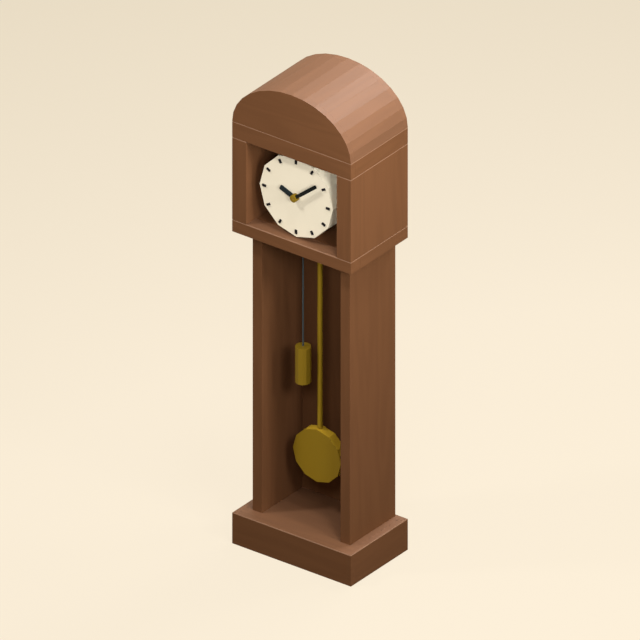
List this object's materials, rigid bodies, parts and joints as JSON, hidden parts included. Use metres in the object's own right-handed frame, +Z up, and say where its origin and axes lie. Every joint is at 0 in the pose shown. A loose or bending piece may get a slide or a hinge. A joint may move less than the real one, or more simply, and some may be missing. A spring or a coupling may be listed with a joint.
{
  "type": "longcase clock",
  "caption": "Floor-standing longcase clock with an open trunk, arched hood, round drum dial, weight-driven geared movement, hanging weight and swinging pendulum.",
  "frame": {"origin": "centre of the plinth's underside, on the floor", "axes": "+Z up; +X to the right and +Y to the back, seen by someone who reads the dial, so the dial faces -Y"},
  "size_m": [0.5, 0.32, 1.813],
  "materials": {
    "case_wood": "waxed satin hardwood",
    "plain_wood": "unfinished softwood",
    "dial_paint": "cream enamel paint, satin",
    "marker_paint": "dark enamel, satin",
    "hand_steel": "dark blued steel, satin",
    "polished_brass": "polished brass",
    "movement_brass": "fine grained brass",
    "arbor_steel": "polished steel",
    "core_iron": "rough cast",
    "line_fibre": "tightly laid dark slate cord"
  },
  "bodies": {
    "case": {"plinth_boards": "case_wood", "plinth_top": "case_wood", "plinth_blocks": "plain_wood", "trunk_left": "case_wood", "trunk_right": "case_wood", "trunk_rail": "case_wood", "backboard": "case_wood", "seatboard": "case_wood", "seat_blocks": "plain_wood", "dial_drum": "dial_paint", "dial_plate": "dial_paint", "hour_markers": "marker_paint", "dial_feet": "arbor_steel", "front_plate": "movement_brass", "back_plate": "movement_brass", "pillars": "movement_brass", "movement_screws": "arbor_steel", "back_cock": "movement_brass", "suspension_block": "movement_brass", "minute_stud": "arbor_steel", "hour_bridge": "movement_brass", "weight_line": "line_fibre"},
    "hood": {"hood_base": "case_wood", "hood_left_side": "case_wood", "hood_right_side": "case_wood", "frieze_boards": "case_wood", "hood_ceiling": "plain_wood", "arch_front": "case_wood", "arch_back": "case_wood", "arch_staves": "case_wood"},
    "centre": {"centre_arbor": "arbor_steel", "centre_wheel": "movement_brass", "cannon_pinion": "movement_brass", "minute_collet": "polished_brass", "minute_hand": "hand_steel"},
    "hour": {"hour_wheel": "movement_brass", "hour_collet": "polished_brass", "hour_hand": "hand_steel"},
    "minute_idler": {"minute_wheel": "movement_brass"},
    "great": {"great_wheel": "movement_brass"},
    "click_lever": {"click": "arbor_steel"},
    "third": {"third_arbor": "arbor_steel", "third_wheel": "movement_brass"},
    "escape": {"escape_arbor": "arbor_steel", "escape_wheel": "movement_brass"},
    "anchor_set": {"anchor": "arbor_steel", "crutch": "arbor_steel"},
    "pendulum": {"pendulum_rod": "polished_brass", "suspension_spring": "arbor_steel"},
    "bob": {"bob_shell": "polished_brass", "bob_core": "core_iron", "rating_nut": "polished_brass"},
    "barrel_set": {"barrel": "movement_brass", "barrel_arbor": "arbor_steel", "ratchet_wheel": "arbor_steel", "line_winding": "line_fibre"},
    "weight": {"weight_shell": "polished_brass", "weight_core": "core_iron", "line_ferrule": "movement_brass"},
    "cap": {"winding_cap": "dial_paint"}
  },
  "joints": [
    {"name": "hood_slide", "type": "slide", "parent": "case", "child": "hood", "axis": [0, -1, 0], "range_m": [0, 0.25]},
    {"name": "minute_turn", "type": "hinge", "parent": "case", "child": "centre", "pos_m": [0, 0, 1.409], "axis": [0, 1, 0], "continuous": true},
    {"name": "hour_turn", "type": "hinge", "parent": "case", "child": "hour", "pos_m": [0, 0, 1.409], "axis": [0, 1, 0], "continuous": true},
    {"name": "minute_wheel_turn", "type": "hinge", "parent": "case", "child": "minute_idler", "pos_m": [0.03, 0, 1.409], "axis": [0, 1, 0], "continuous": true},
    {"name": "great_wheel_turn", "type": "hinge", "parent": "case", "child": "great", "pos_m": [0, 0, 1.3442], "axis": [0, 1, 0], "continuous": true},
    {"name": "click_lift", "type": "hinge", "parent": "great", "child": "click_lever", "pos_m": [0.03, 0, 1.3466], "axis": [0, 1, 0], "range_deg": [0, 15], "stiffness_Nm_per_rad": 0.01, "springref_deg": -5.73},
    {"name": "third_turn", "type": "hinge", "parent": "case", "child": "third", "pos_m": [-0.0295, 0, 1.44416], "axis": [0, 1, 0], "continuous": true},
    {"name": "escape_turn", "type": "hinge", "parent": "case", "child": "escape", "pos_m": [0, 0, 1.47234], "axis": [0, 1, 0], "continuous": true},
    {"name": "pendulum_swing", "type": "hinge", "parent": "case", "child": "pendulum", "pos_m": [0, 0, 1.50911], "axis": [0, 1, 0], "range_deg": [-2.5, 2.5]},
    {"name": "anchor_rock", "type": "hinge", "parent": "case", "child": "anchor_set", "pos_m": [0, 0, 1.50911], "axis": [0, 1, 0], "range_deg": [-2.6, 2.6]},
    {"name": "bob_rating", "type": "slide", "parent": "pendulum", "child": "bob", "axis": [0, 0, 1], "range_m": [-0.004, 0.004]},
    {"name": "weight_drop", "type": "slide", "parent": "case", "child": "weight", "axis": [0, 0, 1], "range_m": [-0.49, 0.36], "deforming": ["weight_line"]},
    {"name": "barrel_turn", "type": "hinge", "parent": "case", "child": "barrel_set", "pos_m": [0, 0, 1.3442], "axis": [0, 1, 0], "range_deg": [-803, 590]},
    {"name": "winding_cap_pull", "type": "slide", "parent": "case", "child": "cap", "axis": [0, -1, 0], "range_m": [0, 0.02]}
  ],
  "couplings": [
    {"joint": "hour_turn", "follows": "minute_turn", "ratio": 0.083333},
    {"joint": "minute_wheel_turn", "follows": "minute_turn", "ratio": -0.33333},
    {"joint": "great_wheel_turn", "follows": "minute_turn", "ratio": -0.125},
    {"joint": "third_turn", "follows": "minute_turn", "ratio": -7.5},
    {"joint": "escape_turn", "follows": "minute_turn", "ratio": 56.25},
    {"joint": "anchor_rock", "follows": "pendulum_swing", "ratio": 1},
    {"joint": "barrel_turn", "follows": "weight_drop", "rad_per_m": 28.571}
  ]
}
